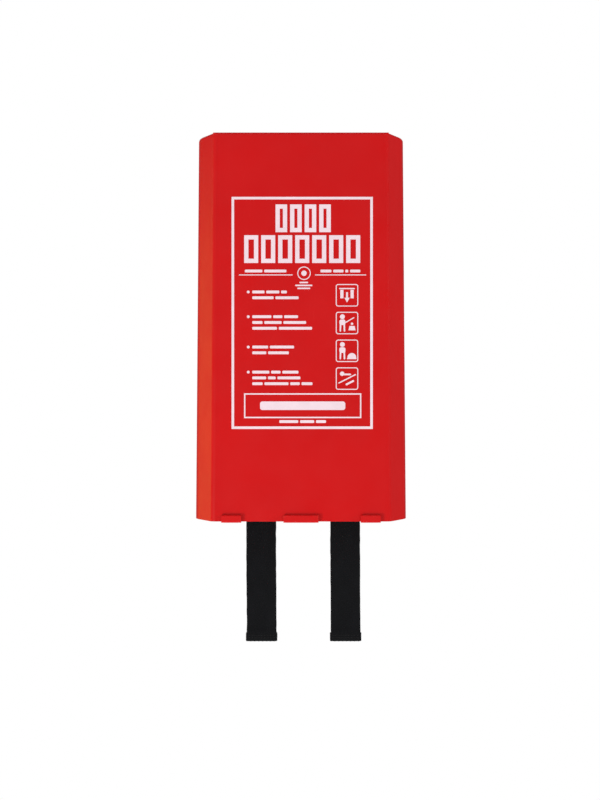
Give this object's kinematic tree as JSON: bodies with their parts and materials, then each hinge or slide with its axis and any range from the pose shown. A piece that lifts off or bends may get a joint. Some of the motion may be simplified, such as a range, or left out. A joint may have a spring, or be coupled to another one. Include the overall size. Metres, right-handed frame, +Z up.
{
  "type": "fire blanket",
  "caption": "Fire blanket folded in a slim red wall case with slanted sides, closed below by a hinged three-hook flap, with black webbing pull straps hanging out.",
  "frame": {"origin": "middle of the two wall screw holes, on the flat back face", "axes": "+Z up, +Y into the wall, the printed front faces -Y"},
  "size_m": [0.18, 0.0641, 0.423],
  "materials": {
    "cover_plastic": "satin",
    "back_plastic": "satin",
    "flap_plastic": "satin",
    "glass_cloth": "woven",
    "webbing": "woven",
    "thread": "matte",
    "print_ink": "matte"
  },
  "bodies": {
    "case": {"back_plate": "back_plastic", "front_cover": "cover_plastic", "living_hinge": "back_plastic", "print_border": "print_ink", "print_heading_top": "print_ink", "print_heading_lower": "print_ink", "print_rules": "print_ink", "print_data_lines": "print_ink", "print_seal": "print_ink", "print_seal_lines": "print_ink", "print_steps": "print_ink", "print_step_marks": "print_ink", "print_icon_frames": "print_ink", "print_icon_pull": "print_ink", "print_icon_cover": "print_ink", "print_icon_leave": "print_ink", "print_icon_smother": "print_ink", "print_name_box": "print_ink", "print_name_bar": "print_ink", "print_caption_line": "print_ink"},
    "flap": {"bottom_flap": "flap_plastic"},
    "blanket": {"folded_blanket": "glass_cloth", "left_strap_anchor": "webbing", "right_strap_anchor": "webbing", "left_anchor_stitching": "thread", "right_anchor_stitching": "thread"},
    "left_strap": {"left_pull_strap": "webbing", "left_hem_stitching": "thread"},
    "right_strap": {"right_pull_strap": "webbing", "right_hem_stitching": "thread"}
  },
  "joints": [
    {"name": "flap_open", "type": "hinge", "parent": "case", "child": "flap", "pos_m": [0, -0.0005, -0.1604], "axis": [1, 0, 0], "range_deg": [0, 88]},
    {"name": "blanket_pull", "type": "slide", "parent": "case", "child": "blanket", "axis": [0, 0, -1], "range_m": [0, 0.31], "deforming": ["folded_blanket"]},
    {"name": "left_strap_swing", "type": "hinge", "parent": "blanket", "child": "left_strap", "pos_m": [-0.03415, -0.032, -0.1515], "axis": [-1, 0, 0], "range_deg": [-14, 65]},
    {"name": "right_strap_swing", "type": "hinge", "parent": "blanket", "child": "right_strap", "pos_m": [0.03625, -0.032, -0.1515], "axis": [-1, 0, 0], "range_deg": [-14, 65]}
  ]
}
